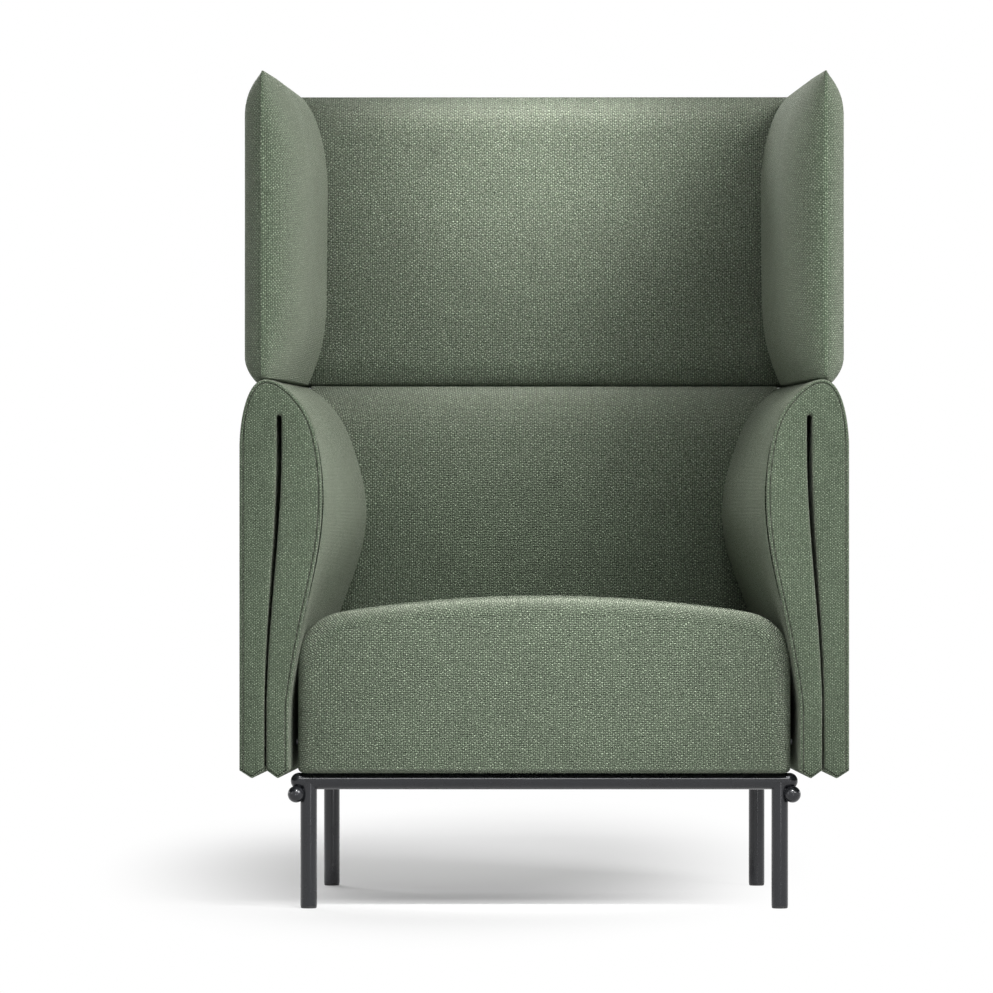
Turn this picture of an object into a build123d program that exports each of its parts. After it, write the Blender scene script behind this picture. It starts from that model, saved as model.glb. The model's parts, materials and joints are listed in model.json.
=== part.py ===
"""High back lounge chair: folded arm and back pads, pillow wings, and a round tube base.

Millimetres. The origin is on the floor under the middle of the chair, +Z is up and the sitter
faces -Y. A depth is measured backwards from the front plane of the arms. Left and right are as
seen from the front, so right is +X.
"""

import os
from math import atan2, cos, pi, radians, sin, tan

from build123d import *

os.makedirs("parts", exist_ok=True)

# ---------------------------------------------------------------- whole chair
back_foot_depth = 662.0  # seam of the upper back, at its foot and at its top
back_ridge_depth = 736.0
rear_swell_reach = 18.29  # the upper back's rear face reaches this far behind its top seam
overall_depth = back_ridge_depth + rear_swell_reach
front_y = -overall_depth / 2
toe_in = radians(2.4)  # arms and wings draw together towards the rear
half_width = 455.5  # outer face of an arm, at the front
body_depth = 717.0  # length of an arm pad, front to rear
wing_top_z = 1254.5
seam_gap = 0.6  # room between two upholstered pieces that are pressed together
cover_thickness = 2.0

# ---------------------------------------------------------------- tube base
tube_diameter = 25.0
tube_wall = 2.0
tube_radius = tube_diameter / 2
front_leg_depth = 50.0
rear_leg_depth = 667.0
front_leg_x = 353.0
rear_leg_x = 337.0
side_rail_offset = 18.5  # side rail axis outboard of the leg axis
side_rail_overhang = 22.5  # rail tip beyond the leg axis
cross_rail_z = 190.5
rail_overlap = 5.5  # how deep the side rail is coped into the cross rail
side_rail_z = cross_rail_z - tube_diameter + rail_overlap
cross_rail_overhang = 27.0  # rail tip beyond the leg axis
glide_diameter = 24.0
glide_height = 4.0
glide_plug_length = 18.0
glide_plug_clearance = 0.1
glide_edge = 1.2
rail_top_z = cross_rail_z + tube_radius

tab_width = 46.0
tab_length = 42.0
tab_thickness = 5.0
tab_corner_radius = 4.0
tab_spacing = 400.0
screw_diameter = 8.0
screw_head_diameter = 15.0
screw_head_height = 4.5
screw_clearance = 0.3
screw_length = 38.0  # from the underside of a tab into the seat frame
hex_key_size = 5.0
hex_key_depth = 2.6

# ---------------------------------------------------------------- folded pads (arms and lower back)
fold_top_z = 791.5
tip_z = 196.0  # pinched seam along the lower edge of each leaf
tip_rise = 12.0
slot_top_z = 738.5
slot_upper_z = 690.0
slot_lower_z = 300.0
slot_width_high = 8.0
slot_width_low = 3.4
outer_leaf_high = 55.0
outer_leaf_low = 37.0
inner_leaf_low = 33.6
crest_from_outer = 36.0  # highest line of the fold, from the outer face
bulge_z = 605.0
inner_bulge = 124.0  # thickest point of the folded pad, from the outer face
waist_z = 437.0
waist_from_outer = 96.5
shoulder_z = 752.0
shoulder_from_outer = 98.5
back_extra = 26.0  # the lower back's front leaf is that much thicker
arm_crown_middle = 35.0  # the inner face of an arm swells between front and rear
arm_crown_rear = 22.0
arm_crown_share = 0.6  # of the arm's length, where the swelling is greatest
shoulder_crown_share = 0.25  # how much of the swelling is left at the shoulder
back_crown = 8.0
lower_back_half_width = 352.0

# ---------------------------------------------------------------- seat
seat_front_depth = 24.0
seat_rear_depth = 580.0
seat_side_gap = 10.5  # between the seat and an arm's inner leaf
seat_half_width = half_width - outer_leaf_low - slot_width_low - inner_leaf_low - seat_side_gap
seat_crown_z = 464.5
seat_side_top_z = 434.0  # where the crown would meet the upright side
seat_corner_radius = 74.0
seat_edge_radius = 24.0
seat_foot_radius = 8.0
frame_inset = 34.0
frame_rail_thickness = 25.0
frame_rail_height = 82.0
frame_rear_depth = 676.0
frame_rear_rail_thickness = 45.0
dust_cover_thickness = 1.0
corner_block = 40.0
corner_block_drop = 10.0
webbing_margin = 8.0
webbing_pitch_x = 98.0
webbing_pitch_y = 110.0
webbing_width = 50.0
webbing_thickness = 2.0
webbing_count_long = 6
webbing_count_across = 5
cover_turn_under = 30.0

# ---------------------------------------------------------------- wings and upper back
wing_front_depth = 20.0
wing_inner_crown = 59.0
wing_inner_margin = 150.0
wing_outer_crown = 29.5
wing_outer_margin = 44.0
foot_gap = 1.0  # the wings and the upper back stand this far over the folds
back_front_crown = 36.0
back_front_margin = 120.0
back_rear_crown = 27.0
back_rear_margin = 60.0
ridge_corner_radius = 8.0
ridge_corner_growth = 0.25  # the corners grow rounder by this share of the way in from the seam
pinch_angle = radians(30)  # how far round the crown's ellipse the seam stops
crown_steps = 4

# ---------------------------------------------------------------- inner panels, straps and bolts
arm_panel_thickness = 18.0
panel_skin = 9.0  # foam outside the lower panels
strap_thickness = 4.5
strap_width = 40.0
wing_panel_thickness = 12.0
panel_margin = 30.0
arm_panel_low_z = 224.0
arm_panel_top_z = 712.0
panel_end_margin = 32.0
strap_overlap = 150.0
bolt_diameter = 8.0
bolt_head_diameter = 18.0
bolt_head_height = 4.0
bolt_z = 246.0
bolt_shares = (0.21, 0.45, 0.69)  # places along the length of an arm
strap_shares = (0.22, 0.78)
back_strap_x = 190.0
bolt_block_clearance = 17.0  # between a bolt's head and the corner block beside it
strap_bend_drop = 70.0
back_panel_half_width = 262.0
panel_corner_radius = 40.0
window_margin = 80.0  # from a lower panel's edge to the window in it


def at_depth(depth):
    """The y of a depth measured from the front plane."""
    return front_y + depth


def draw_in(depth):
    """How far the arms and wings have moved inwards at a depth."""
    return depth * tan(toe_in)


def finish(piece, label):
    """Names a finished piece and writes it."""
    piece.label = label
    export_step(piece, f"parts/{label}.step")


# ================================================================ tube base
def capsule_tube(start, end):
    """A round tube with domed, welded-on ends between two tips, and its solid outline."""
    axis = (end - start).normalized()
    length = (end - start).length
    with BuildPart() as solid:
        with BuildSketch(Plane(origin=start, x_dir=axis, z_dir=axis.cross(Vector(0, 0, 1)))):
            with BuildLine():
                Line((0, 0), (length, 0))
                ThreePointArc((0, 0), (tube_radius * (1 - cos(pi / 4)), tube_radius * sin(pi / 4)),
                              (tube_radius, tube_radius))
                Line((tube_radius, tube_radius), (length - tube_radius, tube_radius))
                ThreePointArc((length - tube_radius, tube_radius),
                              (length - tube_radius * (1 - cos(pi / 4)), tube_radius * sin(pi / 4)),
                              (length, 0))
            make_face()
        revolve(axis=Axis(start, axis))
    with BuildPart() as hollow:
        add(solid.part)
        with BuildSketch(Plane(origin=start + axis * tube_radius, z_dir=axis)):
            Circle(tube_radius - tube_wall)
        extrude(amount=length - tube_diameter, mode=Mode.SUBTRACT)
    return hollow.part, solid.part


def cross_rail_ends(leg_x, leg_depth):
    reach = leg_x + cross_rail_overhang
    return Vector(-reach, at_depth(leg_depth), cross_rail_z), Vector(reach, at_depth(leg_depth), cross_rail_z)


rail_places = {"front": (front_leg_x, front_leg_depth), "rear": (rear_leg_x, rear_leg_depth)}
rail_outlines = {}
for end_name, (leg_x, leg_depth) in rail_places.items():
    rail, rail_outlines[end_name] = capsule_tube(*cross_rail_ends(leg_x, leg_depth))
    finish(rail, f"{end_name}_cross_rail")

side_rail_outlines = {}
for side_name, side in (("left", -1), ("right", 1)):
    slope = (rear_leg_x - front_leg_x) / (rear_leg_depth - front_leg_depth)
    tips = []
    for leg_x, leg_depth, beyond in (
        (front_leg_x, front_leg_depth, -side_rail_overhang),
        (rear_leg_x, rear_leg_depth, side_rail_overhang),
    ):
        tips.append(Vector(side * (leg_x + side_rail_offset + slope * beyond), at_depth(leg_depth + beyond),
                           side_rail_z))
    hollow, side_rail_outlines[side_name] = capsule_tube(*tips)
    with BuildPart() as side_rail:
        add(hollow)
        add(rail_outlines["front"], mode=Mode.SUBTRACT)
        add(rail_outlines["rear"], mode=Mode.SUBTRACT)
    finish(side_rail.part, f"side_rail_{side_name}")

for end_name, (leg_x, leg_depth) in rail_places.items():
    for side_name, side in (("left", -1), ("right", 1)):
        foot = Plane.XY.move(Location((side * leg_x, at_depth(leg_depth), 0)))
        with BuildPart() as leg:
            with BuildSketch(foot.offset(glide_height)):
                Circle(tube_radius)
                Circle(tube_radius - tube_wall, mode=Mode.SUBTRACT)
            extrude(amount=cross_rail_z - glide_height)
            add(rail_outlines[end_name], mode=Mode.SUBTRACT)
            add(side_rail_outlines[side_name], mode=Mode.SUBTRACT)
        finish(leg.part.solids().sort_by(Axis.Z)[0], f"leg_{end_name}_{side_name}")
        with BuildPart() as glide:
            with BuildSketch(foot):
                Circle(glide_diameter / 2)
            extrude(amount=glide_height)
            chamfer(glide.edges().group_by(Axis.Z)[0], glide_edge)
            with BuildSketch(foot.offset(glide_height)):
                Circle(tube_radius - tube_wall - glide_plug_clearance)
            extrude(amount=glide_plug_length)
            chamfer(glide.edges().group_by(Axis.Z)[-1], glide_edge)
        finish(glide.part, f"glide_{end_name}_{side_name}")

tab_places = []
for leg_depth, inward in ((front_leg_depth, 1), (rear_leg_depth, -1)):
    for side in (-1, 1):
        tab_places.append((side * tab_spacing / 2, at_depth(leg_depth) + inward * (tab_length / 2)))

with BuildPart() as seat_tabs:
    with BuildSketch(Plane.XY.offset(rail_top_z - tab_thickness)):
        with Locations(*tab_places):
            RectangleRounded(tab_width, tab_length, tab_corner_radius)
        with Locations(*tab_places):
            Circle(screw_diameter / 2 + screw_clearance, mode=Mode.SUBTRACT)
    extrude(amount=tab_thickness)
    for outline in rail_outlines.values():
        add(outline, mode=Mode.SUBTRACT)
finish(seat_tabs.part, "seat_tabs")

# Screws hold the seat box down on the tabs.
tab_low_plane = Plane.XY.offset(rail_top_z - tab_thickness)
with BuildPart() as base_screws:
    with BuildSketch(tab_low_plane):
        with Locations(*tab_places):
            Circle(screw_diameter / 2)
    extrude(amount=screw_length)
    with BuildSketch(tab_low_plane):
        with Locations(*tab_places):
            Circle(screw_head_diameter / 2)
    extrude(amount=-screw_head_height)
    with BuildSketch(tab_low_plane.offset(-screw_head_height)):
        with Locations(*tab_places):
            RegularPolygon(hex_key_size / 2, 6, major_radius=False)
    extrude(amount=hex_key_depth, mode=Mode.SUBTRACT)
with BuildPart() as screw_room:
    with BuildSketch(tab_low_plane):
        with Locations(*tab_places):
            Circle(screw_diameter / 2 + screw_clearance)
    extrude(amount=screw_length)
finish(base_screws.part, "base_screws")


# ================================================================ folded pads
def fold_section(plane, edge, inset=0.0, extra=0.0, crown=0.0):
    """Section of a pad folded over at the top: two leaves, a slot between them, pinched lower edges.

    The first sketch axis points outwards and edge is the outer face. An inset draws the whole outline
    in by a thickness, and a pinched tip, which is sharp, moves up by twice as much. Extra thickens the
    inner leaf, and crown swells its face round its thickest point.
    """
    outer = inset
    outer_slot_low = outer_leaf_low - inset
    outer_slot_high = outer_leaf_high - inset
    inner_slot_low = outer_leaf_low + slot_width_low + inset
    inner_slot_high = outer_leaf_high + slot_width_high + inset
    inner_face = outer_leaf_low + slot_width_low + inner_leaf_low + extra - inset
    leaf_foot_z = tip_z + tip_rise + inset
    arc_radius = slot_width_high / 2 + inset
    arc_z = slot_top_z - slot_width_high / 2
    arc_middle = outer_leaf_high + slot_width_high / 2

    def at(inward, z):
        return (edge - inward, z)

    with BuildSketch(plane) as section:
        with BuildLine():
            Polyline(
                at(outer, slot_upper_z),
                at(outer, leaf_foot_z),
                at(outer_leaf_low / 2, tip_z + 2 * inset),
                at(outer_slot_low, leaf_foot_z),
                at(outer_slot_low, slot_lower_z),
            )
            Spline(at(outer_slot_low, slot_lower_z), at(outer_slot_high, slot_upper_z),
                   tangents=[(0, 1), (0, 1)])
            Line(at(outer_slot_high, slot_upper_z), at(outer_slot_high, arc_z))
            ThreePointArc(at(outer_slot_high, arc_z), at(arc_middle, arc_z + arc_radius),
                          at(inner_slot_high, arc_z))
            Line(at(inner_slot_high, arc_z), at(inner_slot_high, slot_upper_z))
            Spline(at(inner_slot_high, slot_upper_z), at(inner_slot_low, slot_lower_z),
                   tangents=[(0, -1), (0, -1)])
            Polyline(
                at(inner_slot_low, slot_lower_z),
                at(inner_slot_low, leaf_foot_z),
                at((inner_slot_low + inner_face) / 2, tip_z + 2 * inset),
                at(inner_face, leaf_foot_z),
                at(inner_face, slot_lower_z),
            )
            Spline(
                at(inner_face, slot_lower_z),
                at(waist_from_outer + extra - inset, waist_z),
                at(inner_bulge + extra + crown - inset, bulge_z),
                at(shoulder_from_outer + extra + crown * shoulder_crown_share - inset, shoulder_z - inset),
                at(crest_from_outer + extra / 2, fold_top_z - inset),
                at(outer, slot_upper_z),
                tangents=[(0, 1), (0, -1)],
            )
        make_face()
    return section.sketch


def arm_form(inset=0.0):
    """Right arm pad, from its front band to its rear band."""
    stations = (
        (inset, 0.0),
        (body_depth * arm_crown_share, arm_crown_middle),
        (body_depth - inset, arm_crown_rear),
    )
    with BuildPart() as form:
        loft([
            fold_section(Plane.XZ.offset(-at_depth(depth)), half_width - draw_in(depth), inset, 0.0, crown)
            for depth, crown in stations
        ])
    return form.part


def arm_side_plane(inward):
    """Plane parallel to the right arm's outer face: x runs backwards, y up and the normal outwards."""
    outer_face = Plane(
        origin=(half_width, front_y, 0),
        x_dir=(-sin(toe_in), cos(toe_in), 0),
        z_dir=(cos(toe_in), sin(toe_in), 0),
    )
    return outer_face.offset(-inward)


def both_sides(piece, label):
    """Writes a right-hand piece and its mirror image."""
    finish(piece, f"{label}_right")
    finish(mirror(piece, about=Plane.YZ), f"{label}_left")


strap_inward = panel_skin + arm_panel_thickness + strap_thickness
arm_outline = arm_form()
arm_core = arm_form(cover_thickness)
panel_length = body_depth - 2 * panel_end_margin
panel_height = arm_panel_top_z - arm_panel_low_z
panel_middle_z = (arm_panel_top_z + arm_panel_low_z) / 2

# Flat steel straps lie on the inner face of the arm panel and on the outer face of the wing panel.
with BuildPart() as wing_straps:
    with BuildSketch(arm_side_plane(strap_inward)):
        with Locations(*[(body_depth * share, fold_top_z) for share in strap_shares]):
            RectangleRounded(strap_width, 2 * strap_overlap, strap_thickness)
    extrude(amount=strap_thickness)

# Bolts run from inside the seat box, through the inner leaf, into the arm panel.
frame_hollow_half = seat_half_width - frame_inset - frame_rail_thickness + draw_in(seat_front_depth)
bolt_head_inward = (half_width - frame_hollow_half) * cos(toe_in)
bolt_length = bolt_head_inward - panel_skin - bolt_head_height
bolt_places = [(body_depth * share, bolt_z) for share in bolt_shares]
with BuildPart() as arm_bolts:
    with BuildSketch(arm_side_plane(bolt_head_inward)):
        with Locations(*bolt_places):
            Circle(bolt_diameter / 2)
    extrude(amount=bolt_length)
    with BuildSketch(arm_side_plane(bolt_head_inward)):
        with Locations(*bolt_places):
            Circle(bolt_head_diameter / 2)
    extrude(amount=-bolt_head_height)
with BuildPart() as bolt_room:
    with BuildSketch(arm_side_plane(bolt_head_inward)):
        with Locations(*bolt_places):
            Circle(bolt_diameter / 2 + screw_clearance)
    extrude(amount=bolt_length)

with BuildPart() as arm_panel:
    with BuildSketch(arm_side_plane(panel_skin + arm_panel_thickness)):
        with Locations((body_depth / 2, panel_middle_z)):
            RectangleRounded(panel_length, panel_height, panel_corner_radius)
            RectangleRounded(panel_length - 2 * window_margin, panel_height - 2 * window_margin,
                             panel_corner_radius, mode=Mode.SUBTRACT)
    extrude(amount=arm_panel_thickness)
    add(bolt_room.part, mode=Mode.SUBTRACT)
with BuildPart() as arm_foam:
    add(arm_core)
    add(arm_panel.part, mode=Mode.SUBTRACT)
    add(wing_straps.part, mode=Mode.SUBTRACT)
    add(bolt_room.part, mode=Mode.SUBTRACT)
with BuildPart() as arm_cover:
    add(arm_outline)
    add(arm_core, mode=Mode.SUBTRACT)
    add(wing_straps.part, mode=Mode.SUBTRACT)
    add(bolt_room.part, mode=Mode.SUBTRACT)

both_sides(arm_cover.part, "arm_cover")
both_sides(arm_foam.part, "arm_foam")
both_sides(arm_panel.part, "arm_panel")
both_sides(wing_straps.part, "wing_straps")
both_sides(arm_bolts.part, "arm_bolts")


# ================================================================ pillow panels
panel_foot_z = fold_top_z + foot_gap
back_lean = atan2(back_ridge_depth - back_foot_depth, wing_top_z - panel_foot_z)
back_height = (wing_top_z - panel_foot_z) / cos(back_lean)
back_half_width = half_width - strap_inward - draw_in(back_ridge_depth) - seam_gap
wing_plane = arm_side_plane(strap_inward)
back_plane = Plane(
    origin=(0, at_depth(back_foot_depth), panel_foot_z),
    x_dir=(1, 0, 0),
    z_dir=(0, -cos(back_lean), sin(back_lean)),
)


def wing_outline(inward):
    """Corners of a wing's seam: upright front, level foot and top, and a rear that leans as the back."""
    front, foot, top = wing_front_depth + inward, panel_foot_z + inward, wing_top_z - inward

    def rear(z):
        depth = back_foot_depth + (z - panel_foot_z) * tan(back_lean)
        return depth / cos(toe_in) - inward / cos(back_lean)

    return [(front, foot), (rear(foot), foot), (rear(top), top), (front, top)]


def back_outline(inward):
    """Corners of the upper back's seam."""
    reach, foot, top = back_half_width - inward, inward, back_height - inward
    return [(-reach, foot), (reach, foot), (reach, top), (-reach, top)]


def outline_face(plane, corners, radius):
    with BuildSketch(plane) as face:
        with BuildLine():
            Polyline(*corners, close=True)
        make_face()
        fillet(face.vertices(), radius)
    return face.sketch


def pillow_half(plane, outline, crown, margin, side, inset=0.0):
    """One face of a pillow: rings that climb part of an ellipse from the seam to the crown."""
    rings = []
    for step in range(crown_steps + 1):
        angle = pinch_angle + (pi / 2 - pinch_angle) * step / crown_steps
        inward = margin * (cos(pinch_angle) - cos(angle)) / cos(pinch_angle)
        height = (crown - inset) * (sin(angle) - sin(pinch_angle)) / (1 - sin(pinch_angle))
        ring_plane = plane.offset(side * height)
        corner_radius = ridge_corner_radius + ridge_corner_growth * inward
        rings.append(outline_face(ring_plane, outline(inward + 2 * inset), corner_radius))
    with BuildPart() as half:
        loft(rings)
    return half.part


def pillow_halves(plane, outline, faces, inset=0.0):
    return [pillow_half(plane, outline, crown, margin, side, inset) for crown, margin, side in faces]


wing_faces = ((wing_inner_crown, wing_inner_margin, -1), (wing_outer_crown, wing_outer_margin, 1))
back_faces = ((back_front_crown, back_front_margin, 1), (back_rear_crown, back_rear_margin, -1))
wing_skins = pillow_halves(wing_plane, wing_outline, wing_faces)
wing_cores = pillow_halves(wing_plane, wing_outline, wing_faces, cover_thickness)
back_skins = pillow_halves(back_plane, back_outline, back_faces)
back_cores = pillow_halves(back_plane, back_outline, back_faces, cover_thickness)

with BuildPart() as wing_panel:
    extrude(outline_face(wing_plane, wing_outline(panel_margin), panel_margin), amount=-wing_panel_thickness)
with BuildPart() as wing_foam_inner:
    add(wing_cores[0])
    add(wing_panel.part, mode=Mode.SUBTRACT)
with BuildPart() as wing_foam_outer:
    add(wing_cores[1])
    add(wing_straps.part, mode=Mode.SUBTRACT)
with BuildPart() as wing_cover:
    add(wing_skins)
    add(wing_cores, mode=Mode.SUBTRACT)
    add(wing_straps.part, mode=Mode.SUBTRACT)

both_sides(wing_panel.part, "wing_panel")
both_sides(wing_foam_inner.part, "wing_foam_inner")
both_sides(wing_foam_outer.part, "wing_foam_outer")
both_sides(wing_cover.part, "wing_cover")


# ================================================================ lower back
def lower_back_form(inset=0.0):
    """Folded pad between the arms, trimmed where it presses against them."""
    reach = lower_back_half_width - inset
    with BuildPart() as form:
        loft([
            fold_section(Plane.YZ.offset(x), at_depth(body_depth), inset, back_extra, crown)
            for x, crown in ((-reach, 0.0), (0.0, back_crown), (reach, 0.0))
        ])
        add(arm_outline, mode=Mode.SUBTRACT)
        add(mirror(arm_outline, about=Plane.YZ), mode=Mode.SUBTRACT)
        with BuildSketch(Plane.XY):
            with Locations((0, at_depth(body_depth - outer_leaf_low))):
                Rectangle(2 * half_width, body_depth - seat_rear_depth, align=(Align.CENTER, Align.MAX))
        extrude(amount=deck_top_z + seam_gap + inset, mode=Mode.SUBTRACT)
    return form.part


frame_low_z = rail_top_z + cover_thickness
frame_top_z = frame_low_z + frame_rail_height
deck_top_z = frame_top_z + 2 * webbing_thickness
lower_back_outline = lower_back_form()
lower_back_core = lower_back_form(cover_thickness)
back_strap_inward = panel_skin + arm_panel_thickness + strap_thickness / 2
back_strap_y = at_depth(body_depth - back_strap_inward)
back_panel_rear_y = at_depth(body_depth - panel_skin)
back_strap_offset = strap_thickness / 2
back_strap_foot = Vector(0, at_depth(back_foot_depth), panel_foot_z)
back_up = Vector(0, sin(back_lean), cos(back_lean))
back_out = Vector(0, cos(back_lean), -sin(back_lean))
strap_bend = back_strap_foot + back_out * back_strap_offset
strap_head = strap_bend + back_up * strap_overlap
with BuildPart() as back_straps:
    for side in (-1, 1):
        with BuildSketch(Plane.YZ.offset(side * back_strap_x - strap_width / 2)):
            with BuildLine() as strap_line:
                Polyline(
                    (back_strap_y, fold_top_z - strap_overlap),
                    (back_strap_y, fold_top_z - strap_bend_drop),
                    (strap_bend.Y, strap_bend.Z),
                    (strap_head.Y, strap_head.Z),
                )
            trace(line_width=strap_thickness)
        extrude(amount=strap_width)

back_bolt_y = at_depth(frame_rear_depth - frame_rear_rail_thickness)
back_bolt_plane = Plane(origin=(0, back_bolt_y, 0), x_dir=(-1, 0, 0), z_dir=(0, 1, 0))
rear_hollow_half = (seat_half_width - frame_inset - frame_rail_thickness
                    - draw_in(frame_rear_depth - frame_rear_rail_thickness - seat_front_depth))
back_bolt_x = rear_hollow_half - corner_block - bolt_head_diameter / 2 - bolt_block_clearance
back_bolt_places = [(side * back_bolt_x, bolt_z) for side in (-1, 0, 1)]
back_bolt_length = back_panel_rear_y - back_bolt_y
with BuildPart() as back_bolts:
    with BuildSketch(back_bolt_plane):
        with Locations(*back_bolt_places):
            Circle(bolt_diameter / 2)
    extrude(amount=back_bolt_length)
    with BuildSketch(back_bolt_plane):
        with Locations(*back_bolt_places):
            Circle(bolt_head_diameter / 2)
    extrude(amount=-bolt_head_height)
with BuildPart() as back_bolt_room:
    with BuildSketch(back_bolt_plane):
        with Locations(*back_bolt_places):
            Circle(bolt_diameter / 2 + screw_clearance)
    extrude(amount=back_bolt_length)

with BuildPart() as lower_back_panel:
    with BuildSketch(Plane.XZ.offset(-back_panel_rear_y)):
        with Locations((0, panel_middle_z)):
            RectangleRounded(2 * back_panel_half_width, panel_height, panel_corner_radius)
            RectangleRounded(2 * (back_panel_half_width - window_margin), panel_height - 2 * window_margin,
                             panel_corner_radius, mode=Mode.SUBTRACT)
    extrude(amount=arm_panel_thickness)
    add(back_bolt_room.part, mode=Mode.SUBTRACT)
with BuildPart() as lower_back_foam:
    add(lower_back_core)
    add(lower_back_panel.part, mode=Mode.SUBTRACT)
    add(back_straps.part, mode=Mode.SUBTRACT)
    add(back_bolt_room.part, mode=Mode.SUBTRACT)
with BuildPart() as lower_back_cover:
    add(lower_back_outline)
    add(lower_back_core, mode=Mode.SUBTRACT)
    add(back_straps.part, mode=Mode.SUBTRACT)
    add(back_bolt_room.part, mode=Mode.SUBTRACT)
finish(lower_back_cover.part, "lower_back_cover")
finish(lower_back_foam.part, "lower_back_foam")
finish(lower_back_panel.part, "lower_back_panel")
finish(back_straps.part, "back_straps")
finish(back_bolts.part, "back_bolts")

# ================================================================ upper back
with BuildPart() as upper_back_panel:
    extrude(outline_face(back_plane, back_outline(panel_margin), panel_margin), amount=wing_panel_thickness)
with BuildPart() as upper_back_foam_front:
    add(back_cores[0])
    add(upper_back_panel.part, mode=Mode.SUBTRACT)
with BuildPart() as upper_back_foam_rear:
    add(back_cores[1])
    add(back_straps.part, mode=Mode.SUBTRACT)
with BuildPart() as upper_back_cover:
    add(back_skins)
    add(back_cores, mode=Mode.SUBTRACT)
    add(back_straps.part, mode=Mode.SUBTRACT)
finish(upper_back_panel.part, "upper_back_panel")
finish(upper_back_foam_front.part, "upper_back_foam_front")
finish(upper_back_foam_rear.part, "upper_back_foam_rear")
finish(upper_back_cover.part, "upper_back_cover")


# ================================================================ seat
def seat_form(inset=0.0):
    """The upholstered seat: what its front, side and top views all leave standing."""
    half, side_top_z, crown_z = seat_half_width - inset, seat_side_top_z - inset, seat_crown_z - inset
    front, rear = seat_front_depth + inset, seat_rear_depth - inset
    length = rear - front
    with BuildSketch(Plane.XZ.offset(-at_depth(front))) as front_view:
        with BuildLine():
            ThreePointArc((-half, side_top_z), (0, crown_z), (half, side_top_z))
            Polyline((half, side_top_z), (half, rail_top_z), (-half, rail_top_z), (-half, side_top_z))
        make_face()
        # Views are drawn flat, so their second axis stands for height.
        fillet(front_view.vertices().group_by(Axis.Y)[-1], seat_corner_radius - inset)
        fillet(front_view.vertices().group_by(Axis.Y)[0], seat_foot_radius - inset)
    with BuildPart() as form:
        # Each side draws in with the arm beside it.
        extrude(front_view.sketch, amount=length / cos(toe_in), dir=(-sin(toe_in), cos(toe_in), 0))
        extrude(front_view.sketch, amount=length / cos(toe_in), dir=(sin(toe_in), cos(toe_in), 0),
                mode=Mode.INTERSECT)
        with BuildSketch(Plane.YZ.offset(-half)) as side_view:
            with BuildLine():
                Polyline(
                    (at_depth(front), rail_top_z),
                    (at_depth(front), crown_z),
                    (at_depth(rear), crown_z),
                    (at_depth(rear), rail_top_z),
                    close=True,
                )
            make_face()
            front_foot, front_top = side_view.vertices().group_by(Axis.X)[0].sort_by(Axis.Y)
            fillet(front_foot, seat_foot_radius - inset)
            fillet(front_top, seat_edge_radius - inset)
        extrude(amount=2 * half, mode=Mode.INTERSECT)
        front_half, rear_half = half, half - draw_in(length)
        with BuildSketch(Plane.XY.offset(rail_top_z)) as top_view:
            with BuildLine():
                Polyline(
                    (-front_half, at_depth(front)),
                    (front_half, at_depth(front)),
                    (rear_half, at_depth(rear)),
                    (-rear_half, at_depth(rear)),
                    close=True,
                )
            make_face()
            fillet(top_view.vertices().group_by(Axis.Y)[0], seat_edge_radius - inset)
        extrude(amount=crown_z - rail_top_z, mode=Mode.INTERSECT)
    return form.part


def seat_box(inward, low_z, height, front_depth, rear_depth):
    """Block whose sides draw in with the arms, a distance inside the seat's outline."""
    corners = []
    for side, depth in ((-1, front_depth), (1, front_depth), (1, rear_depth), (-1, rear_depth)):
        half = seat_half_width - inward - draw_in(depth - seat_front_depth)
        corners.append((side * half, at_depth(depth)))
    with BuildPart() as block:
        with BuildSketch(Plane.XY.offset(low_z)):
            with BuildLine():
                Polyline(*corners, close=True)
            make_face()
        extrude(amount=height)
    return block.part


frame_front_depth = seat_front_depth + frame_inset
frame_hollow_front = frame_front_depth + frame_rail_thickness
frame_hollow_rear = frame_rear_depth - frame_rear_rail_thickness
seat_bolt_rooms = (bolt_room.part, mirror(bolt_room.part, about=Plane.YZ), back_bolt_room.part)
with BuildPart() as seat_frame:
    add(seat_box(frame_inset, frame_low_z, frame_rail_height, frame_front_depth, frame_rear_depth))
    add(seat_box(frame_inset + frame_rail_thickness, frame_low_z, frame_rail_height, frame_hollow_front,
                 frame_hollow_rear), mode=Mode.SUBTRACT)
    with BuildSketch(Plane.XY.offset(frame_low_z)):
        for side in (-1, 1):
            for depth, backward in ((frame_hollow_front, 1), (frame_hollow_rear, -1)):
                half = seat_half_width - frame_inset - frame_rail_thickness - draw_in(depth - seat_front_depth)
                x, y = side * (half + cover_thickness), at_depth(depth) - backward * cover_thickness
                with BuildLine():
                    Polyline((x, y), (x - side * corner_block, y), (x, y + backward * corner_block), close=True)
                make_face()
    extrude(amount=frame_rail_height - corner_block_drop)
    add(seat_bolt_rooms, mode=Mode.SUBTRACT)
    add(screw_room.part, mode=Mode.SUBTRACT)

web_front, web_rear = at_depth(frame_front_depth + webbing_margin), at_depth(frame_rear_depth - webbing_margin)
web_half = seat_half_width - frame_inset - webbing_margin - draw_in(frame_rear_depth - seat_front_depth)
with BuildPart() as seat_webbing:
    with BuildSketch(Plane.XY.offset(frame_top_z)):
        with Locations((0, (web_front + web_rear) / 2)):
            with GridLocations(webbing_pitch_x, 0, webbing_count_long, 1):
                Rectangle(webbing_width, web_rear - web_front)
    extrude(amount=webbing_thickness)
    with BuildSketch(Plane.XY.offset(frame_top_z + webbing_thickness)):
        with Locations((0, (web_front + web_rear) / 2)):
            with GridLocations(0, webbing_pitch_y, 1, webbing_count_across):
                Rectangle(2 * web_half, webbing_width)
    extrude(amount=webbing_thickness)

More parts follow.
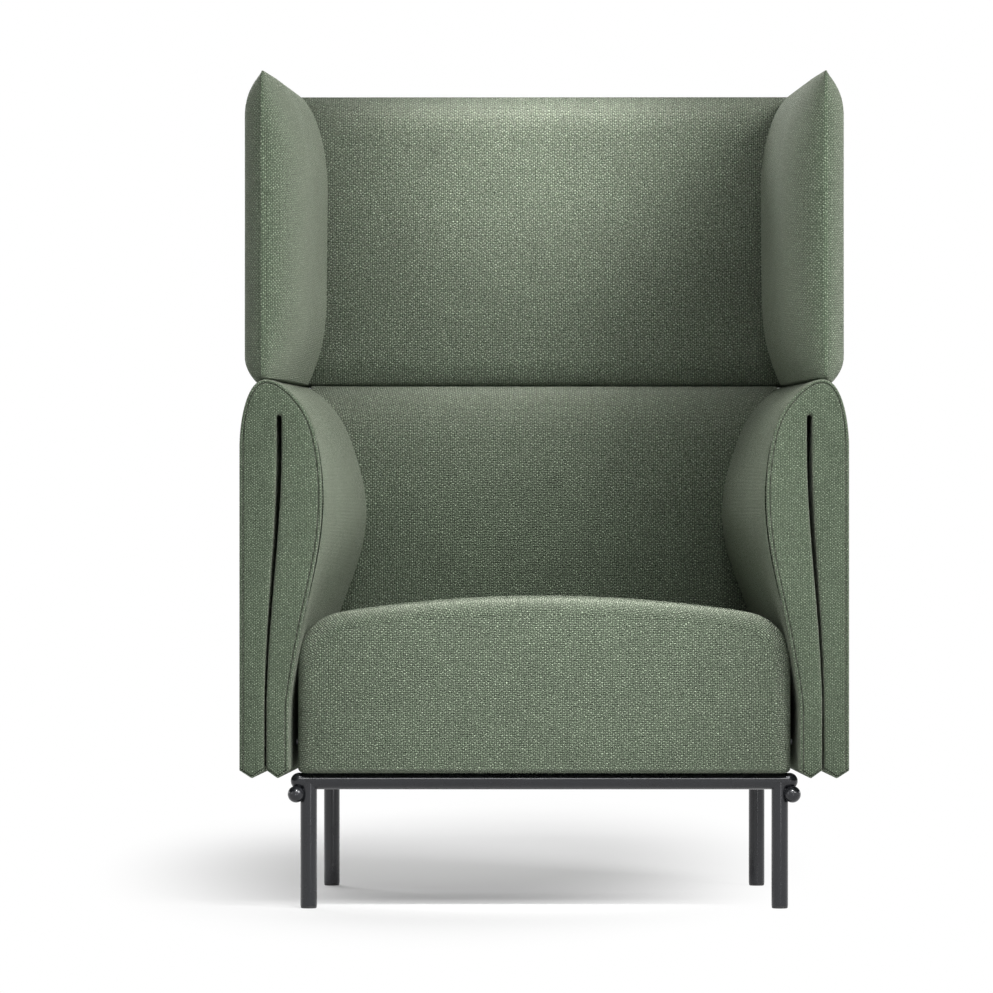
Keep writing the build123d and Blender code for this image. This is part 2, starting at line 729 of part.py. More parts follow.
seat_outline = seat_form()
seat_core = seat_form(cover_thickness)
frame_room = seat_box(frame_inset, rail_top_z, deck_top_z - rail_top_z, frame_front_depth, frame_rear_depth)
turned_under = frame_inset + cover_turn_under
with BuildPart() as seat_above_turn:
    add(seat_core)
    with BuildSketch(Plane.XY.offset(rail_top_z)):
        with Locations((0, at_depth(body_depth / 2))):
            Rectangle(2 * half_width, body_depth)
    extrude(amount=cover_thickness, mode=Mode.SUBTRACT)
with BuildPart() as seat_foam:
    add(seat_above_turn.part)
    add(frame_room, mode=Mode.SUBTRACT)
    add(seat_bolt_rooms, mode=Mode.SUBTRACT)
with BuildPart() as seat_cover:
    add(seat_outline)
    add(seat_above_turn.part, mode=Mode.SUBTRACT)
    add(seat_box(frame_inset, frame_low_z, deck_top_z - frame_low_z, frame_front_depth, frame_rear_depth),
        mode=Mode.SUBTRACT)
    add(seat_box(turned_under, rail_top_z, cover_thickness, seat_front_depth + turned_under, frame_rear_depth),
        mode=Mode.SUBTRACT)
    add(seat_bolt_rooms, mode=Mode.SUBTRACT)
    add(screw_room.part, mode=Mode.SUBTRACT)
with BuildPart() as seat_dust_cover:
    add(seat_box(turned_under + seam_gap, frame_low_z - dust_cover_thickness, dust_cover_thickness,
                 seat_front_depth + turned_under + seam_gap, frame_rear_depth - seam_gap))
    add(screw_room.part, mode=Mode.SUBTRACT)
finish(seat_frame.part, "seat_frame")
finish(seat_webbing.part, "seat_webbing")
finish(seat_foam.part, "seat_foam")
finish(seat_cover.part, "seat_cover")
finish(seat_dust_cover.part, "seat_dust_cover")
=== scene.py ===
# %% [markdown]
# # High back lounge chair: the looks
#
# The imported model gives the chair's frame: tubes, panels, straps and foam in their real places.
# This notebook sews the visible upholstery over it. Every soft piece is a fine skin with its own
# seams, and the tube base keeps its modelled form and gets a painted finish.
#
# The units are metres. The sitter faces -Y, +X is to the right as seen from the front.

# %% Frame
import json

import bmesh
import bpy
import numpy as np
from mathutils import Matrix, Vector


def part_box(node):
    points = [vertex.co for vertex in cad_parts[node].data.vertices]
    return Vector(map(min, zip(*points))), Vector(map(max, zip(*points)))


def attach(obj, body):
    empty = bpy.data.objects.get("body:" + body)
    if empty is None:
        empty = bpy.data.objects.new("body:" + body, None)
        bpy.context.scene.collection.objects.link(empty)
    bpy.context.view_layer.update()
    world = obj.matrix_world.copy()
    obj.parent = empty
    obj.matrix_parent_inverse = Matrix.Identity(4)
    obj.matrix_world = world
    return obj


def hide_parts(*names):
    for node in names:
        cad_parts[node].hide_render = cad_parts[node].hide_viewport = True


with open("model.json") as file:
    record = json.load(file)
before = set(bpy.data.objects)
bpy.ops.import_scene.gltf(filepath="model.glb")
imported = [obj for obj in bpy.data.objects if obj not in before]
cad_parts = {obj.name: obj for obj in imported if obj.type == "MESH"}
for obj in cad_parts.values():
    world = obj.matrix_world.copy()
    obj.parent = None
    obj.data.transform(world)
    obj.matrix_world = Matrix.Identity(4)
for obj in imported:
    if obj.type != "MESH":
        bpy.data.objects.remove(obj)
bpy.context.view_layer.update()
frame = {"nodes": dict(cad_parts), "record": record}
nodes = frame["nodes"]
print("pieces in the frame:", len(nodes))

# %% [markdown]
# ## Sizes read from the frame
#
# The driving sizes of each pad are taken from the boxes of the CAD covers, so the skins follow
# the frame. Sizes inside a pad, such as its slot, are named where the pad is sewn.

# %% Sizes from the frame
arm_low, arm_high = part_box("arm_cover_right")
wing_low, wing_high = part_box("wing_cover_right")
seat_low, seat_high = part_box("seat_cover")
leg_low, leg_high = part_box("leg_front_right")

front_y = arm_low.y
rear_y = arm_high.y
body_depth = rear_y - front_y
half_width = arm_high.x
fold_top = arm_high.z
fold_foot = arm_low.z
toe_in = np.radians(2.4)  # the arms draw together towards the rear
front_leg_y = (leg_low.y + leg_high.y) / 2
print(f"arm pad {body_depth * 1000:.0f} mm deep, top at {fold_top * 1000:.0f} mm")

# %% [markdown]
# ## Camera
#
# Upright edges stay parallel and the two ends of the wings converge on a level line, so the
# camera is level. The base gives the scale at the front legs, and the size of the rear legs gives
# the distance.

# %% Camera
camera_distance = 10.5  # from the front legs
camera_height = 0.617
camera_turn = np.radians(0.39)  # the chair stands a little right of the middle
image_width_px = 993
pixels_per_unit_slope = 7005  # focal length in pixels
sensor_width = 36

camera_data = bpy.data.cameras.new("camera")
camera_data.sensor_width = sensor_width
camera_data.lens = pixels_per_unit_slope * sensor_width / image_width_px
camera_data.clip_end = 100
camera = bpy.data.objects.new("camera", camera_data)
bpy.context.scene.collection.objects.link(camera)
camera.location = (0, front_leg_y - camera_distance, camera_height)
camera.rotation_euler = (np.pi / 2, 0, camera_turn)
bpy.context.scene.camera = camera
bpy.context.scene.view_settings.view_transform = "Standard"
print(f"lens {camera_data.lens:.0f} mm")

# %% [markdown]
# ## Node helpers
#
# Shaders are built from a few short helpers. Effects that several finishes share are node groups
# that put out only colours, masks and heights.


# %% Node helpers
def node(tree, kind, values=None, **settings):
    """A shader node with its settings, and values for its inputs by name or number."""
    made = tree.nodes.new(kind)
    for key, value in settings.items():
        setattr(made, key, value)
    for key, value in (values or {}).items():
        if isinstance(value, bpy.types.NodeSocket):
            tree.links.new(value, made.inputs[key])
        else:
            made.inputs[key].default_value = value
    return made


def math(tree, operation, *values):
    return node(tree, "ShaderNodeMath", dict(enumerate(values)), operation=operation).outputs[0]


def vector_math(tree, operation, first, second):
    """The vector that an operation gives. The factor of a SCALE has a socket of its own."""
    key = "Scale" if operation == "SCALE" else 1
    made = node(tree, "ShaderNodeVectorMath", {0: first, key: second}, operation=operation)
    return made.outputs[0]


def remap(tree, value, from_low, from_high, to_low=0.0, to_high=1.0, smooth=False):
    kind = "SMOOTHSTEP" if smooth else "LINEAR"
    values = {0: value, 1: from_low, 2: from_high, 3: to_low, 4: to_high}
    return node(tree, "ShaderNodeMapRange", values, interpolation_type=kind).outputs[0]


def mix_colour(tree, factor, first, second):
    made = node(tree, "ShaderNodeMix", {0: factor, 6: first, 7: second}, data_type="RGBA")
    return made.outputs[2]


def toned(tree, value, colour):
    """A colour made darker or lighter by a value around 1."""
    return node(tree, "ShaderNodeHueSaturation", {"Value": value, "Color": colour}).outputs[0]


def noise(tree, vector, scale, detail=2.0, roughness=0.5):
    values = {"Vector": vector, "Scale": scale, "Detail": detail, "Roughness": roughness}
    return node(tree, "ShaderNodeTexNoise", values).outputs["Fac"]


def mottle(tree, vector, scale, low, high):
    """Soft patches that run from a low to a high value."""
    return remap(tree, noise(tree, vector, scale), 0.3, 0.7, low, high)


def bump(tree, height, distance, strength):
    """The normal of a surface raised by a height from 0 to 1 times a distance in metres."""
    values = {"Height": height, "Distance": distance, "Strength": strength}
    return node(tree, "ShaderNodeBump", values).outputs["Normal"]


def object_place(tree):
    return node(tree, "ShaderNodeTexCoord").outputs["Object"]


def new_group(name, inputs, outputs):
    """An empty shader node group with named sockets, and its input and output nodes."""
    group = bpy.data.node_groups.new(name, "ShaderNodeTree")
    for direction, sockets in (("INPUT", inputs), ("OUTPUT", outputs)):
        for socket, kind in sockets:
            group.interface.new_socket(socket, in_out=direction, socket_type=f"NodeSocket{kind}")
    return group, group.nodes.new("NodeGroupInput"), group.nodes.new("NodeGroupOutput")


def grouped(tree, group, values):
    """The outputs of a group used in a material."""
    return node(tree, "ShaderNodeGroup", values, node_tree=group).outputs


def new_material(name):
    material = bpy.data.materials.new(name)
    material.use_nodes = True
    tree = material.node_tree
    tree.nodes.clear()
    return material, tree


def principled(tree, values):
    """A principled surface, joined to the material's output."""
    shader = node(tree, "ShaderNodeBsdfPrincipled", values)
    node(tree, "ShaderNodeOutputMaterial", {"Surface": shader.outputs[0]})


# %% [markdown]
# ## The weave of the sage fabric
#
# The cover is a coarse basket weave. Thick yarns in two tones cross in a staggered grid, so the
# cloth shows small light flecks in slanting rows with dark gaps between them. The yarn wanders a
# little, and slubs along both directions vary its thickness and tone. Two sine waves make the
# grid, and noise bends it and varies its yarns. That needs no picture, and it repeats nowhere.

# %% Weave group
yarn_pitch_across = 0.0068
yarn_pitch_along = 0.0053
wander_scale = 160.0
wander_reach = 0.0034
yarn_tone_scale = 330.0
patchy_scale = 14.0
slub_scale = 260.0
slub_stretch = 0.10  # a slub is ten times as long as it is wide
patchy_share, slub_share = 0.4, 0.3  # of the tone
yarn_height, fleck_height = 0.7, 0.5

weave, weave_in, weave_out = new_group(
    "basket_weave",
    [("Cloth", "Vector")],
    [("Fleck", "Float"), ("Gap", "Float"), ("Tone", "Float"), ("Height", "Float")],
)
flat_cloth = weave_in.outputs["Cloth"]
wander = node(weave, "ShaderNodeTexNoise",
              {"Vector": flat_cloth, "Scale": wander_scale, "Detail": 1.0}).outputs["Color"]
wander_centred = vector_math(weave, "SUBTRACT", wander, (0.5, 0.5, 0.5))
wander_scaled = vector_math(weave, "SCALE", wander_centred, wander_reach)
cloth = vector_math(weave, "ADD", flat_cloth, wander_scaled)
across_along = node(weave, "ShaderNodeSeparateXYZ", {0: cloth})
across = math(weave, "MULTIPLY", across_along.outputs["X"], 2 * np.pi / yarn_pitch_across)
along = math(weave, "MULTIPLY", across_along.outputs["Y"], 2 * np.pi / yarn_pitch_along)
crossing = math(weave, "MULTIPLY", math(weave, "SINE", across), math(weave, "SINE", along))
fullness = math(weave, "ABSOLUTE", crossing)
yarn_tone = noise(weave, cloth, yarn_tone_scale, roughness=0.6)
print("weave pitch", yarn_pitch_across * 1000, "by", yarn_pitch_along * 1000, "mm")

# %% Masks that the weave puts out
fleck = math(weave, "MULTIPLY", remap(weave, crossing, -0.2, 0.9, smooth=True),
             remap(weave, yarn_tone, 0.40, 0.64))
gap = math(weave, "MULTIPLY", remap(weave, fullness, 0.55, 0.0, smooth=True),
           remap(weave, yarn_tone, 0.75, 0.3, 0.4, 1.0))
height = math(weave, "ADD", math(weave, "MULTIPLY", fullness, yarn_height),
              math(weave, "MULTIPLY", fleck, fleck_height))
patchy = noise(weave, flat_cloth, patchy_scale, detail=3.0)
thick_across = vector_math(weave, "MULTIPLY", cloth, (slub_stretch, 1.0, 1.0))
thick_along = vector_math(weave, "MULTIPLY", cloth, (1.0, slub_stretch, 1.0))
slubs = math(weave, "ADD", noise(weave, thick_across, slub_scale, detail=1.0),
             noise(weave, thick_along, slub_scale, detail=1.0))
tone = math(weave, "ADD", math(weave, "MULTIPLY", patchy, patchy_share),
            math(weave, "MULTIPLY", slubs, slub_share))
masks = {"Fleck": fleck, "Gap": gap, "Tone": tone, "Height": height}
for socket, value in masks.items():
    weave.links.new(value, weave_out.inputs[socket])
print("masks of the weave:", ", ".join(masks))

# %% [markdown]
# ## The fabric's three variants
#
# Seen along the surface the nap catches the light and the cloth turns paler and smoother, which
# the sheen gives. Masks from the skins paint shade into the seam grooves and a pale highlight
# along the pillows' edges. The chair has one cloth, but in the photograph it looks bolder on the
# backs and the seat than on the wings, and calmest and finest on the arms. So one recipe is used
# three times with its own fineness, contrast, relief and painted shade. The brightness factor
# darkens the backs and the seat a little, the wings more and the arms most, for the light each
# piece gets; on the arms it also makes up for the fewer dark gaps of their calmer weave.

# %% Fabric material
ground_colour = (0.112, 0.152, 0.098, 1)
fleck_colour = (0.48, 0.58, 0.42, 1)
gap_colour = (0.010, 0.017, 0.010, 1)
# painted shade: the seam grooves are darkened almost to black, for the shade that falls in them
seam_shade_colour = (0.012, 0.016, 0.010, 1)
sheen_tint = (0.82, 0.86, 0.71, 1)
tone_low, tone_high = 0.84, 1.16
# painted highlight: the pillows' edges and ridges are made paler, as if they caught the light
edge_highlight_lift = 0.12


def fabric_material(name, fineness, contrast, painted_shade, depth):
    """Weave colour, nap and relief, painted shade in the seams and over the piece, and a painted
    highlight on the edges.
    """
    material, tree = new_material(name)
    cloth_map = node(tree, "ShaderNodeUVMap", uv_map="cloth").outputs["UV"]
    threads = grouped(tree, weave, {"Cloth": vector_math(tree, "SCALE", cloth_map, fineness)})
    seam_shade = node(tree, "ShaderNodeAttribute", attribute_name="seam_shade").outputs["Fac"]
    edge_highlight = node(tree, "ShaderNodeAttribute", attribute_name="edge_highlight").outputs["Fac"]
    flecks = math(tree, "MULTIPLY", threads["Fleck"], contrast)
    gaps = math(tree, "MULTIPLY", threads["Gap"], contrast)
    colour = mix_colour(tree, flecks, ground_colour, fleck_colour)
    colour = mix_colour(tree, gaps, colour, gap_colour)
    # painted shade: the brightness factor darkens each variant for the light that its pieces get
    brightness = remap(tree, threads["Tone"], 0.35, 0.65, tone_low * painted_shade, tone_high * painted_shade)
    # painted highlight along the pillows' edges
    brightness = math(tree, "ADD", brightness, math(tree, "MULTIPLY", edge_highlight, edge_highlight_lift))
    principled(tree, {
        # painted shade in the seams: the seam mask mixes the cloth towards near black
        "Base Color": mix_colour(tree, seam_shade, toned(tree, brightness, colour), seam_shade_colour),
        "Roughness": 0.9,
        "Specular IOR Level": 0.2,
        "Sheen Weight": 0.45,
        "Sheen Roughness": 0.45,
        "Sheen Tint": sheen_tint,
        "Normal": bump(tree, threads["Height"], depth, strength=1.0),
    })
    print(name, "is", fineness, "times as fine as the weave")
    return material


# painted shade: the backs and seat a little darker, the wings more, the arms most
bold_fabric = fabric_material("sage_fabric_bold", fineness=1.0, contrast=1.0, painted_shade=0.97,
                              depth=0.0040)
wing_fabric = fabric_material("sage_fabric_wing", fineness=1.0, contrast=0.85, painted_shade=0.94,
                              depth=0.0014)
calm_fabric = fabric_material("sage_fabric_calm", fineness=1.25, contrast=0.8, painted_shade=0.86,
                              depth=0.0014)


# %% [markdown]
# ## The other finishes
#
# The tube is painted graphite with a smooth gloss that takes broad, soft reflections. Inner
# materials are seen only from below or at an edge, and still get their own grain, weave or pores.


# %% Painted metal
def painted_metal(name, colour, roughness, coat, shine=0.5):
    """Paint with a faint orange peel and slightly duller scuffed areas."""
    material, tree = new_material(name)
    place = object_place(tree)
    scuffs = noise(tree, place, 35.0, detail=4.0, roughness=0.6)
    peel = noise(tree, place, 900.0, detail=1.0)
    clouds = mottle(tree, place, scale=6.0, low=0.9, high=1.1)
    principled(tree, {
        "Base Color": toned(tree, clouds, (*colour, 1)),
        "Metallic": 0.35,
        "Roughness": remap(tree, scuffs, 0.35, 0.75, roughness, roughness + 0.1),
        "Specular IOR Level": shine,
        "Coat Weight": coat,
        "Coat Roughness": 0.08,
        "Normal": bump(tree, peel, distance=0.00002, strength=0.3),
    })
    return material


# %% Plywood
def plywood(name):
    """Birch face veneer with long grain lines, and lighter and darker growth bands."""
    material, tree = new_material(name)
    stretch = {"Vector": object_place(tree), "Scale": (18.0, 18.0, 1.2)}
    stretched = node(tree, "ShaderNodeMapping", stretch).outputs[0]
    grain = noise(tree, stretched, 6.0, detail=6.0, roughness=0.65)
    late_wood, early_wood = (0.42, 0.26, 0.13, 1), (0.70, 0.52, 0.33, 1)
    principled(tree, {
        "Base Color": mix_colour(tree, grain, late_wood, early_wood),
        "Roughness": remap(tree, grain, 0.3, 0.7, 0.5, 0.65),
        "Normal": bump(tree, grain, distance=0.0002, strength=0.4),
    })
    return material


# %% Woven strips
def cloth_strip(name, dark, light, pitch, depth):
    """A plain weave for the dust cover and the elastic webbing, in the object's own axes."""
    material, tree = new_material(name)
    place = object_place(tree)
    xyz = node(tree, "ShaderNodeSeparateXYZ", {0: place})
    lengthways, crossways = (
        math(tree, "SINE", math(tree, "MULTIPLY", xyz.outputs[axis], 2 * np.pi / pitch))
        for axis in "XY"
    )
    thread = remap(tree, math(tree, "MULTIPLY", lengthways, crossways), -1.0, 1.0)
    dust = mottle(tree, place, scale=60.0, low=0.6, high=1.0)
    mottled = math(tree, "MULTIPLY", thread, dust)
    principled(tree, {
        "Base Color": mix_colour(tree, mottled, dark, light),
        "Roughness": remap(tree, thread, 0.0, 1.0, 0.95, 0.8),
        "Normal": bump(tree, thread, depth, strength=0.6),
    })
    return material


# %% Moulded plastic
def moulded_plastic(name, colour):
    """Dull black plastic with a fine spark-eroded grain."""
    material, tree = new_material(name)
    place = object_place(tree)
    grain = noise(tree, place, 1800.0)
    clouds = mottle(tree, place, scale=40.0, low=0.85, high=1.2)
    principled(tree, {
        "Base Color": toned(tree, clouds, (*colour, 1)),
        "Roughness": remap(tree, grain, 0.2, 0.8, 0.45, 0.6),
        "Normal": bump(tree, grain, distance=0.00004, strength=0.5),
    })
    return material


# %% Finishes of the modelled pieces
finishes = {
    "graphite_paint": painted_metal("graphite_paint", (0.016, 0.017, 0.020), roughness=0.22,
                                    coat=0.5, shine=0.3),
    "strap_steel": painted_metal("strap_paint", (0.030, 0.030, 0.034), roughness=0.45, coat=0.1),
    "zinc_steel": painted_metal("zinc_plate", (0.55, 0.55, 0.57), roughness=0.35, coat=0.0),
    "birch_ply": plywood("birch_ply"),
    "dust_cloth": cloth_strip("dust_cloth", dark=(0.008, 0.008, 0.008, 1),
                              light=(0.030, 0.030, 0.030, 1), pitch=0.0016, depth=0.0001),
    "webbing": cloth_strip("webbing", dark=(0.020, 0.020, 0.024, 1),
                           light=(0.090, 0.090, 0.095, 1), pitch=0.0040, depth=0.0004),
    "glide_plastic": moulded_plastic("glide_plastic", (0.020, 0.020, 0.021)),
    "green_fabric": bold_fabric,
    "foam": bold_fabric,
}
for part in frame["record"]["subparts"]:
    mesh = nodes[part["node"]].data
    mesh.materials.clear()
    mesh.materials.append(finishes[part["material_slot"]])
print("finishes:", len(finishes))


# %% [markdown]
# ## Skins
#
# A soft piece is sewn from patches. A patch is a grid of points with cloth coordinates in metres,
# a mask of painted shade in its seams and a mask of painted highlight along its edges. Patches
# share their edge points, so welding them gives one closed skin. A cloth simulation could swell
# the pads too. It wasn't tried, because the remesh it needs was expected to lose the narrow slots,
# the lips and the pinched ends, so the skins are drawn from curves.


# %% Sewing helpers
weld_distance = 0.00002


def patch(points, cloth, seam_shade=None, edge_highlight=None):
    """A grid of points with cloth coordinates, and masks that default to nothing."""
    blank = np.zeros(points.shape[:2])
    return points, cloth, blank if seam_shade is None else seam_shade, blank if edge_highlight is None else edge_highlight


def sew(name, patches):
    """One welded, smooth skin made from patches."""
    positions, faces, cloths, seam_shades, edge_highlights, base = [], [], [], [], [], 0
    for points, cloth, seam_shade, edge_highlight in patches:
        rows, columns = points.shape[:2]
        index = base + np.arange(rows * columns).reshape(rows, columns)
        quads = np.stack([index[:-1, :-1], index[1:, :-1], index[1:, 1:], index[:-1, 1:]], axis=-1)
        positions.append(points.reshape(-1, 3))
        cloths.append(cloth.reshape(-1, 2))
        seam_shades.append(seam_shade.ravel())
        edge_highlights.append(edge_highlight.ravel())
        faces.append(quads.reshape(-1, 4))
        base += rows * columns
    mesh = bpy.data.meshes.new(name)
    mesh.from_pydata(np.concatenate(positions), [], np.concatenate(faces).tolist())
    corner_vertex = np.empty(len(mesh.loops), int)
    mesh.loops.foreach_get("vertex_index", corner_vertex)
    layer = mesh.uv_layers.new(name="cloth")
    layer.data.foreach_set("uv", np.concatenate(cloths)[corner_vertex].ravel())
    for mask, values in (("seam_shade", seam_shades), ("edge_highlight", edge_highlights)):
        attribute = mesh.attributes.new(mask, "FLOAT", "POINT")
        attribute.data.foreach_set("value", np.concatenate(values).astype(np.float32))
    editing = bmesh.new()
    editing.from_mesh(mesh)
    bmesh.ops.remove_doubles(editing, verts=editing.verts, dist=weld_distance)
    bmesh.ops.dissolve_degenerate(editing, edges=editing.edges, dist=weld_distance)
    bmesh.ops.recalc_face_normals(editing, faces=editing.faces)
    editing.to_mesh(mesh)
    editing.free()
    mesh.polygons.foreach_set("use_smooth", np.ones(len(mesh.polygons), bool))
    piece = bpy.data.objects.new(name, mesh)
    bpy.context.scene.collection.objects.link(piece)
    return piece


def upholster(piece, finish, fill, *replaced):
    """A sewn piece takes its place on the chair and stands for its CAD cover and foam."""
    piece.data.materials.append(finish)
    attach(piece, "root")
    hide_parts(*replaced)
    print(f"{piece.name}: {len(piece.data.polygons)} faces")


# %% [markdown]
# ## Lines and spacing
#
# A seam or a rounded edge needs rows a fraction of a millimetre apart, while an open face does
# not. So the rows of a patch stand close together near its edges and far apart between them.
# Outlines are cubic splines through a few measured points, cut and spaced out again by their
# length.

# %% Spacing and edge shapes
mm = 0.001
coarse_step = 16 * mm


def near_edges(length, steps):
    """Distances from 0 to a length: the given steps at both ends, and coarse ones between."""
    ends = np.array(steps) * mm
    count = max(2, int(np.ceil((length - 2 * ends[-1]) / coarse_step)) + 1)
    between = np.linspace(ends[-1], length - ends[-1], count)
    return np.concatenate([ends[:-1], between, length - ends[-2::-1]])


def quarter_round(distance, radius):
    """Rises from 0 at an edge to 1 at a radius, as a quarter circle."""
    left = 1 - np.clip(distance / radius, 0, 1)
    return np.sqrt(1 - left**2)


def bump_at(distance, centre, width):
    return np.exp(-(((distance - centre) / width) ** 2))


# %% Lines
def smooth_curve(knots, start, end, count):
    """Points along a cubic spline through knots, with the directions given at both ends."""
    knots = np.array(knots, float)
    chord = np.linalg.norm(np.diff(knots, axis=0), axis=1)
    size = len(knots)
    system, right = np.zeros((size, size)), np.zeros((size, 2))
    system[0, 0] = system[-1, -1] = 1
    right[0], right[-1] = start, end
    for i in range(1, size - 1):
        system[i, i - 1 : i + 2] = chord[i], 2 * (chord[i - 1] + chord[i]), chord[i - 1]
        before, after = chord[i - 1], chord[i]
        rise = after**2 * (knots[i] - knots[i - 1]) + before**2 * (knots[i + 1] - knots[i])
        right[i] = 3 * rise / (before * after)
    slope = np.linalg.solve(system, right)
    at = np.concatenate([[0], np.cumsum(chord)])
    where = np.linspace(0, at[-1], count)
    span = np.clip(np.searchsorted(at, where, side="right") - 1, 0, size - 2)
    u = ((where - at[span]) / chord[span])[:, None]
    h = chord[span][:, None]
    a, b, c, d = knots[span], knots[span + 1], slope[span] * h, slope[span + 1] * h
    from_start = a * (1 + 2 * u) * (1 - u) ** 2 + c * u * (1 - u) ** 2
    return from_start + b * u**2 * (3 - 2 * u) + d * u**2 * (u - 1)


def run_length(points):
    return np.concatenate([[0], np.cumsum(np.linalg.norm(np.diff(points, axis=0), axis=1))])


def resample(points, shares):
    """Points at the given shares of a line's length."""
    run = run_length(points)
    where = np.asarray(shares) * run[-1]
    return np.stack([np.interp(where, run, points[:, axis]) for axis in range(2)], axis=1)


def split_at(points, axis, value, reverse=False):
    """Cuts a line where a coordinate first passes a value."""
    past = points[:, axis] < value if reverse else points[:, axis] > value
    at = max(1, int(np.argmax(past)))
    return points[: at + 1], points[at:]


# %% [markdown]
# ## Folded pads
#
# An arm is one long pad folded over at the top. Its two leaves hang down beside a narrow slot and
# end in pinched edges, so the front shows an arch with a slot and two small chevrons. The front
# panel is set in behind a raised lip. The same form, laid across the chair, makes the lower back.

# %% Sizes of a fold
slot_top = fold_top - 53 * mm
slot_upper_z = 0.690
slot_lower_z = 0.290
tip_rise = 12 * mm
swell_z = 0.570  # the inner face swells most at this height
swell_spread = 0.147
outer_leaf_low = 37.2 * mm
outer_leaf_high = 55.5 * mm
slot_width_low = 3.4 * mm
slot_width_high = 7.8 * mm
inner_face_low = 74 * mm
crest = 36 * mm  # the highest point of the fold, inwards from its outer face
lip_width = 5.5 * mm
foot_seam = 3.6 * mm
seam_width = 0.8 * mm
end_round = 6 * mm
lip_round = 3 * mm
slot_round = 7 * mm
foot_round = 2.5 * mm
groove_depth = 1.8 * mm
panel_set_in = 2.2 * mm
panel_fade = 9 * mm
end_depth = end_round + panel_set_in
tip_fade = 40 * mm
foot_steps = np.array([0, 0.7, 1.5, 2.4, 3.1, 3.6, 4.1, 4.8, 6, 8, 11, 15, 20, 26]) * mm
lip_steps = np.array([0, 0.7, 1.5, 2.6, 3.8, 4.7, 5.1, 5.5, 5.9, 6.4, 7.6, 10, 14]) * mm
slot_steps = np.array([10, 7.5, 5, 3, 1.5, 0.5, 0]) * mm
leg_spacing = 9 * mm
run_steps = (0, 1.5, 4, 8, 14, 22, 32, 46, 62, 80)
fold_samples = 600
arch_shares = np.linspace(0, 1, 24)
print("slot", slot_width_low / mm, "to", slot_width_high / mm, "mm wide")


# %% Section of a fold
def slot_sides(z):
    """The outer and inner side of the slot at a height, measured inwards from the outer face."""
    t = np.clip((z - slot_lower_z) / (slot_upper_z - slot_lower_z), 0, 1)
    t = t * t * (3 - 2 * t)
    outer = outer_leaf_low + (outer_leaf_high - outer_leaf_low) * t
    return outer, outer + slot_width_low + (slot_width_high - slot_width_low) * t


def fold_outline(extra, crown):
    """The fold's outer line above the straight part of its outer leaf, down to the inner leaf."""
    # Each knot is a distance inwards from the outer face, and a height.
    knots = [
        (0, slot_upper_z),
        (crest + extra / 2, fold_top),
        (94.5 * mm + extra, 0.752),
        (116.5 * mm + extra, 0.695),
        (124.0 * mm + extra, 0.610),
        (117.5 * mm + extra, 0.540),
        (96.5 * mm + extra, 0.437),
        (80.5 * mm + extra, 0.350),
        (inner_face_low + extra, slot_lower_z),
    ]
    line = smooth_curve(knots, (0, 1), (0, -1), fold_samples)
    past_crest = np.clip((line[:, 0] - crest - extra / 2) / crest, 0, 1)
    line[:, 0] += crown * past_crest * bump_at(line[:, 1], swell_z, swell_spread)
    return line


def leaf_heights(foot):
    """Heights of the rows of a leaf, close together at its foot."""
    first = foot + foot_steps[-1] + leg_spacing
    above = np.arange(first, slot_upper_z - leg_spacing / 2, leg_spacing)
    return np.concatenate([foot + foot_steps, above])


def slot_line_over(middle):
    """The slot's side over its round top, with points that match those of the outer arch."""
    radius = slot_width_high / 2
    turn = np.linspace(np.pi, 0, 13)
    cap_z = slot_top - radius
    cap = np.stack([middle + radius * np.cos(turn), cap_z + radius * np.sin(turn)], 1)
    start = [[outer_leaf_high, slot_upper_z]]
    end = [[outer_leaf_high + slot_width_high, slot_upper_z]]
    shares = np.concatenate([arch_shares / 2, 0.5 + arch_shares[1:] / 2])
    return resample(np.concatenate([start, cap, end]), shares)


def fold_lines(extra, crown, inner_foot):
    """Matching points of the outer line and the slot's side, from outer foot to inner foot."""
    middle = outer_leaf_high + slot_width_high / 2
    rising, rest = split_at(fold_outline(extra, crown), 0, middle)
    falling, lower = split_at(rest, 1, slot_upper_z, reverse=True)
    arch = np.concatenate([resample(rising, arch_shares), resample(falling, arch_shares[1:])])

    outer_z, inner_z = leaf_heights(fold_foot), leaf_heights(inner_foot)[::-1]
    face = np.interp(inner_z, lower[::-1, 1], lower[::-1, 0])
    outer_line = [np.stack([0 * outer_z, outer_z], 1), arch, np.stack([face, inner_z], 1)]
    slot_line = [np.stack([slot_sides(outer_z)[0], outer_z], 1), slot_line_over(middle),
                 np.stack([slot_sides(inner_z)[1], inner_z], 1)]
    return np.concatenate(outer_line), np.concatenate(slot_line)


def ribbon(extra, crown, inner_foot):
    """The fold's section as rows of points from its outer line to the slot.

    Each point has its distances from the lip, from the slot and from the foot.
    """
    outer_line, slot_line = fold_lines(extra, crown, inner_foot)
    width = np.linalg.norm(slot_line - outer_line, axis=1)[:, None]
    between = np.linspace(0, 1, 6)[1:-1]
    inside = lip_steps[-1] + (width - slot_steps[0] - lip_steps[-1]) * between
    from_lip = np.concatenate([0 * width + lip_steps, inside, width - slot_steps], axis=1)
    share = (from_lip / width)[..., None]
    points = outer_line[:, None] * (1 - share) + slot_line[:, None] * share
    half = len(points) // 2
    foot = np.where(np.arange(len(points)) < half, fold_foot, inner_foot)[:, None]
    from_foot = points[..., 1] - foot
    fade = np.clip(1 - (from_foot - foot_steps[-3]) / tip_fade, 0, 1)
    points[..., 1] += tip_rise * fade * np.abs(2 * share[..., 0] - 1)
    return points, from_lip, width - from_lip, from_foot


def section_ring(points):
    """The closed border of a ribbon."""
    return np.concatenate([points[:, 0], points[-1, 1:], points[-2::-1, -1], points[0, -2::-1]])


